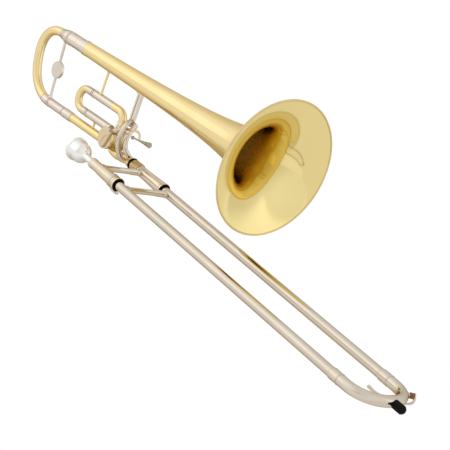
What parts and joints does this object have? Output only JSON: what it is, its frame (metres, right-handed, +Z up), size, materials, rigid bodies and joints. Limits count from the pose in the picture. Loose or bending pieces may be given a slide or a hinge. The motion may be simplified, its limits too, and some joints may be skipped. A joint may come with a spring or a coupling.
{
  "type": "tenor trombone with rotary valve",
  "caption": "Compact tenor trombone: hand slide with braces and water key, flared bell, tuning slide, small rotary-valve loop with thumb lever, and mouthpiece.",
  "frame": {"origin": "middle of the inner slide brace, where the left hand holds the instrument", "axes": "+X out along the hand slide towards its end bow, +Y towards the bell side (the player's left), +Z up, across the plane of the two slide legs"},
  "size_m": [1.0859, 0.2423, 0.2553],
  "materials": {
    "gold_lacquer_brass": "clear gold lacquer, polished",
    "nickel_plate": "polished nickel silver, warm",
    "slide_nickel": "polished nickel plate, champagne tone",
    "silver_plate": "bright silver plate",
    "screw_steel": "turned, satin",
    "black_rubber": "matt black",
    "red_cork": "dark red-brown cork"
  },
  "bodies": {
    "bell_section": {"barrel_ring_bell_side": "black_rubber", "barrel_ring_mouthpiece_side": "black_rubber", "bell": "gold_lacquer_brass", "bell_brace": "nickel_plate", "cork_barrel_bell_side": "slide_nickel", "cork_barrel_mouthpiece_side": "slide_nickel", "front_guard_bar": "nickel_plate", "gooseneck": "gold_lacquer_brass", "inner_slide_brace": "slide_nickel", "inner_tube_bell_side": "slide_nickel", "inner_tube_mouthpiece_side": "slide_nickel", "lever_post": "nickel_plate", "lever_screw": "screw_steel", "loop_brace": "gold_lacquer_brass", "loop_elbow": "gold_lacquer_brass", "loop_lower_sleeve": "nickel_plate", "loop_upper_sleeve": "nickel_plate", "lower_tuning_sleeve": "nickel_plate", "mouthpiece_receiver": "slide_nickel", "neck_strut": "gold_lacquer_brass", "neckpipe": "gold_lacquer_brass", "rear_guard_bar": "nickel_plate", "receiver_ring": "black_rubber", "slide_receiver": "gold_lacquer_brass", "slide_tenon": "slide_nickel", "upper_tuning_sleeve": "nickel_plate", "valve_back_cap": "nickel_plate", "valve_casing": "gold_lacquer_brass", "valve_front_plate": "nickel_plate"},
    "hand_slide": {"outer_tube_mouthpiece_side": "slide_nickel", "outer_tube_bell_side": "slide_nickel", "end_ferrule_mouthpiece_side": "slide_nickel", "end_ferrule_bell_side": "slide_nickel", "outer_slide_brace": "slide_nickel", "end_crook": "slide_nickel", "rubber_bumper": "black_rubber", "water_key_saddle": "slide_nickel", "water_key_screw": "screw_steel"},
    "water_key": {"water_key_lever": "slide_nickel", "water_key_cork": "red_cork"},
    "tuning_slide": {"tuning_bow": "gold_lacquer_brass", "upper_bow_ferrule": "nickel_plate", "lower_bow_ferrule": "nickel_plate", "upper_inner_leg": "nickel_plate", "lower_inner_leg": "nickel_plate", "tuning_brace": "nickel_plate"},
    "loop_slide": {"loop_bow": "gold_lacquer_brass", "loop_ferrule_upper": "nickel_plate", "loop_ferrule_lower": "nickel_plate", "loop_leg_upper": "nickel_plate", "loop_leg_lower": "nickel_plate"},
    "rotor": {"valve_rotor": "screw_steel"},
    "trigger": {"thumb_lever": "nickel_plate"},
    "slide_lock": {"slide_lock_ring": "slide_nickel"},
    "slide_nut": {"coupling_nut": "gold_lacquer_brass"},
    "mouthpiece_body": {"mouthpiece": "silver_plate"}
  },
  "joints": [
    {"name": "hand_slide_run", "type": "slide", "parent": "bell_section", "child": "hand_slide", "axis": [1, 0, 0], "range_m": [0, 0.45]},
    {"name": "water_key_hinge", "type": "hinge", "parent": "hand_slide", "child": "water_key", "pos_m": [0.67523, 0.03868, -0.0121], "axis": [-0.8988, 0.4384, 0], "range_deg": [0, 15], "stiffness_Nm_per_rad": 0.06, "springref_deg": -28.65},
    {"name": "tuning_slide_run", "type": "slide", "parent": "bell_section", "child": "tuning_slide", "axis": [-0.9954, -0.0934, -0.0209], "range_m": [0, 0.03]},
    {"name": "loop_slide_run", "type": "slide", "parent": "bell_section", "child": "loop_slide", "axis": [-0.9954, -0.0934, -0.0209], "range_m": [0, 0.025]},
    {"name": "rotor_turn", "type": "hinge", "parent": "bell_section", "child": "rotor", "pos_m": [-0.09862, 0.03644, 0.01581], "axis": [-0.0928, 0.9953, -0.0279], "range_deg": [0, 90]},
    {"name": "trigger_hinge", "type": "hinge", "parent": "bell_section", "child": "trigger", "pos_m": [-0.08247, 0.01641, 0.03432], "axis": [-0.0928, 0.9953, -0.0279], "range_deg": [0, 14], "stiffness_Nm_per_rad": 0.5, "springref_deg": -22.92},
    {"name": "slide_lock_turn", "type": "hinge", "parent": "bell_section", "child": "slide_lock", "pos_m": [0.051, -0.043, 0], "axis": [1, 0, 0], "range_deg": [0, 40]},
    {"name": "nut_turn", "type": "hinge", "parent": "bell_section", "child": "slide_nut", "pos_m": [-0.02, 0.043, 0], "axis": [1, 0, 0], "continuous": true},
    {"name": "mouthpiece_pull", "type": "slide", "parent": "bell_section", "child": "mouthpiece_body", "axis": [-1, 0, 0], "range_m": [0, 0.022]}
  ],
  "couplings": [
    {"joint": "trigger_hinge", "follows": "rotor_turn", "ratio": 0.1555}
  ]
}
